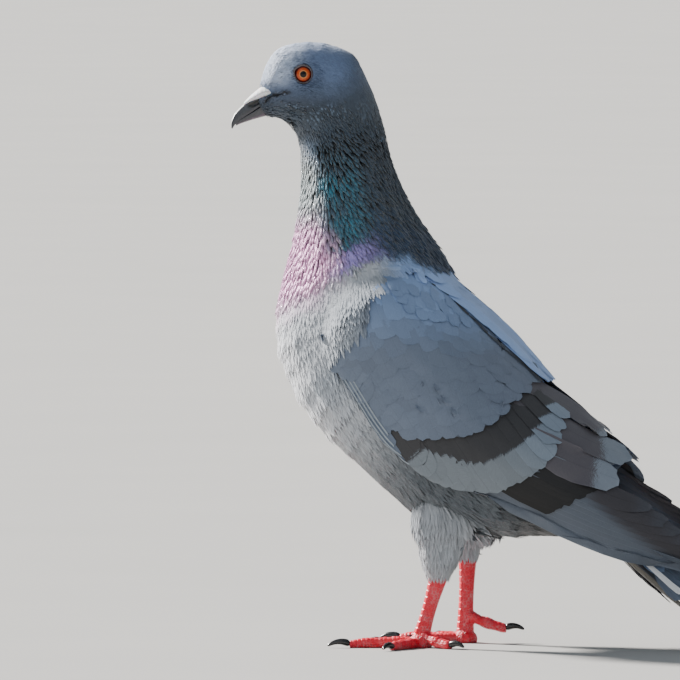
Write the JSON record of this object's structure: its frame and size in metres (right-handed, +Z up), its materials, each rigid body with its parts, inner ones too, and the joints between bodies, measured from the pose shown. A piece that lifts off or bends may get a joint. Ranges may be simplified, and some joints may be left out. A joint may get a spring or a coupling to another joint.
{
  "type": "feral rock pigeon, life-size still model",
  "caption": "Life-size still model of a standing blue-bar pigeon: head turned, wings folded over a sloping back, tail low, on bare scaled feet.",
  "frame": {"origin": "middle of the model's box, on the floor under its feet", "axes": "the bird faces -Y, its left side is +X, +Z up"},
  "size_m": [0.0926, 0.2328, 0.241],
  "materials": {
    "head_feathers": "small smooth slate-blue feathers",
    "neck_feathers": "glossy dark feathers with a green and purple sheen",
    "body_feathers": "soft matt grey feathers",
    "wing_feathers": "smooth blue-grey coverts with two dark bars",
    "flight_feathers": "firm slate flight feathers",
    "tail_feathers": "firm grey tail feathers with a dark end band and white outer webs",
    "leg_skin": "scaled coral-red skin",
    "claw_horn": "glossy black horn",
    "bill_horn": "dark grey horn",
    "cere_skin": "chalky white swollen skin",
    "eye": "orange-red iris under a clear wet front"
  },
  "bodies": {
    "root": {"head": "head_feathers", "neck": "neck_feathers", "trunk": "body_feathers", "tail": "tail_feathers", "wing_left": "wing_feathers", "wing_right": "wing_feathers", "primaries_left": "flight_feathers", "primaries_right": "flight_feathers", "thigh_left": "body_feathers", "thigh_right": "body_feathers", "bill_upper": "bill_horn", "bill_lower": "bill_horn", "cere": "cere_skin", "eye_left": "eye", "eye_right": "eye", "shank_left": "leg_skin", "shank_right": "leg_skin", "foot_pad_left": "leg_skin", "foot_pad_right": "leg_skin", "toe_middle_left": "leg_skin", "toe_inner_left": "leg_skin", "toe_outer_left": "leg_skin", "toe_hind_left": "leg_skin", "toe_middle_right": "leg_skin", "toe_inner_right": "leg_skin", "toe_outer_right": "leg_skin", "toe_hind_right": "leg_skin", "claw_middle_left": "claw_horn", "claw_inner_left": "claw_horn", "claw_outer_left": "claw_horn", "claw_hind_left": "claw_horn", "claw_middle_right": "claw_horn", "claw_inner_right": "claw_horn", "claw_outer_right": "claw_horn", "claw_hind_right": "claw_horn"}
  },
  "joints": []
}
